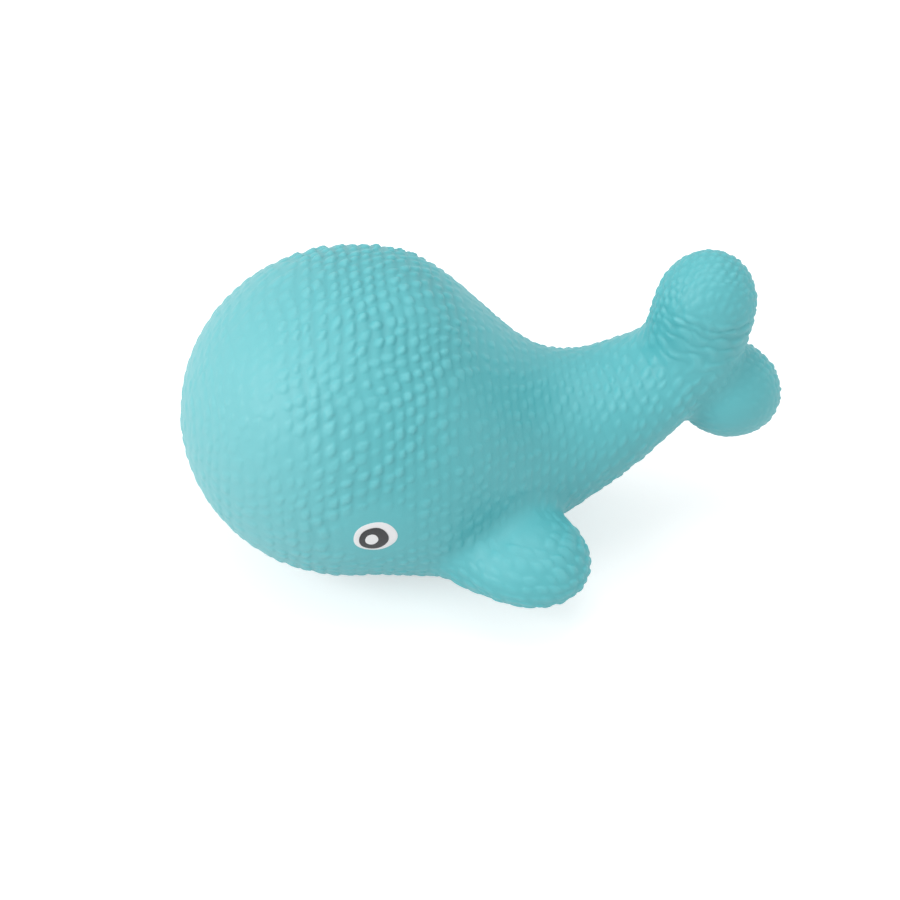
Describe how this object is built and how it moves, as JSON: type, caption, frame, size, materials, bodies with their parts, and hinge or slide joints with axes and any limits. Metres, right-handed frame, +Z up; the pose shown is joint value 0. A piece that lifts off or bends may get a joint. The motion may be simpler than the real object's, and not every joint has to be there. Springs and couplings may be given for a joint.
{
  "type": "squeaky whale dog toy",
  "caption": "Stuffed latex whale dog toy with a round nubbed head, painted eyes, bendable tail and flippers, and a bellows squeaker inside the belly.",
  "frame": {"origin": "bottom centre of the whole toy's box, on the plane of the flat belly", "axes": "+X from the nose towards the tail, +Y towards the whale's right side, +Z up"},
  "size_m": [0.151, 0.0986, 0.083],
  "materials": {
    "latex": "satin turquoise latex with a moulded nub grain",
    "wadding": "white polyester fibre filling",
    "white_paint": "white latex paint film",
    "charcoal_paint": "charcoal latex paint film",
    "squeaker_plastic": "milky blow-moulded plastic",
    "reed_film": "thin smooth plastic film"
  },
  "bodies": {
    "trunk": {"trunk_skin": "latex", "trunk_wadding": "wadding", "closing_plug": "latex", "squeaker_base": "squeaker_plastic", "squeaker_bellows": "squeaker_plastic", "reed_holder": "squeaker_plastic", "reed_clip": "squeaker_plastic", "eye_white_left": "white_paint", "eye_iris_left": "charcoal_paint", "eye_glint_left": "white_paint", "eye_white_right": "white_paint", "eye_iris_right": "charcoal_paint", "eye_glint_right": "white_paint"},
    "tail": {"tail_skin": "latex", "tail_wadding": "wadding"},
    "flipper_left": {"flipper_skin_left": "latex", "flipper_wadding_left": "wadding"},
    "flipper_right": {"flipper_skin_right": "latex", "flipper_wadding_right": "wadding"},
    "crown": {"squeaker_crown": "squeaker_plastic"},
    "reed_tongue": {"reed": "reed_film"}
  },
  "joints": [
    {"name": "tail_bend", "type": "hinge", "parent": "trunk", "child": "tail", "pos_m": [0.03646, 0, 0.03691], "axis": [0, -1, 0], "range_deg": [-20, 20], "stiffness_Nm_per_rad": 0.4},
    {"name": "flipper_left_flap", "type": "hinge", "parent": "trunk", "child": "flipper_left", "pos_m": [0.00386, -0.0316, 0.01927], "axis": [-0.7071, -0.7071, 0], "range_deg": [-12, 12], "stiffness_Nm_per_rad": 0.08},
    {"name": "flipper_right_flap", "type": "hinge", "parent": "trunk", "child": "flipper_right", "pos_m": [0.00386, 0.0316, 0.01927], "axis": [0.7071, -0.7071, 0], "range_deg": [-12, 12], "stiffness_Nm_per_rad": 0.08},
    {"name": "squeeze", "type": "slide", "parent": "trunk", "child": "crown", "axis": [0, 0, -1], "range_m": [0, 0.008], "stiffness_N_per_m": 150, "deforming": ["squeaker_bellows"]},
    {"name": "reed_beat", "type": "hinge", "parent": "trunk", "child": "reed_tongue", "pos_m": [-0.01422, 0, 0.0107], "axis": [0, 1, 0], "range_deg": [-2.5, 2.5], "stiffness_Nm_per_rad": 0.002}
  ]
}
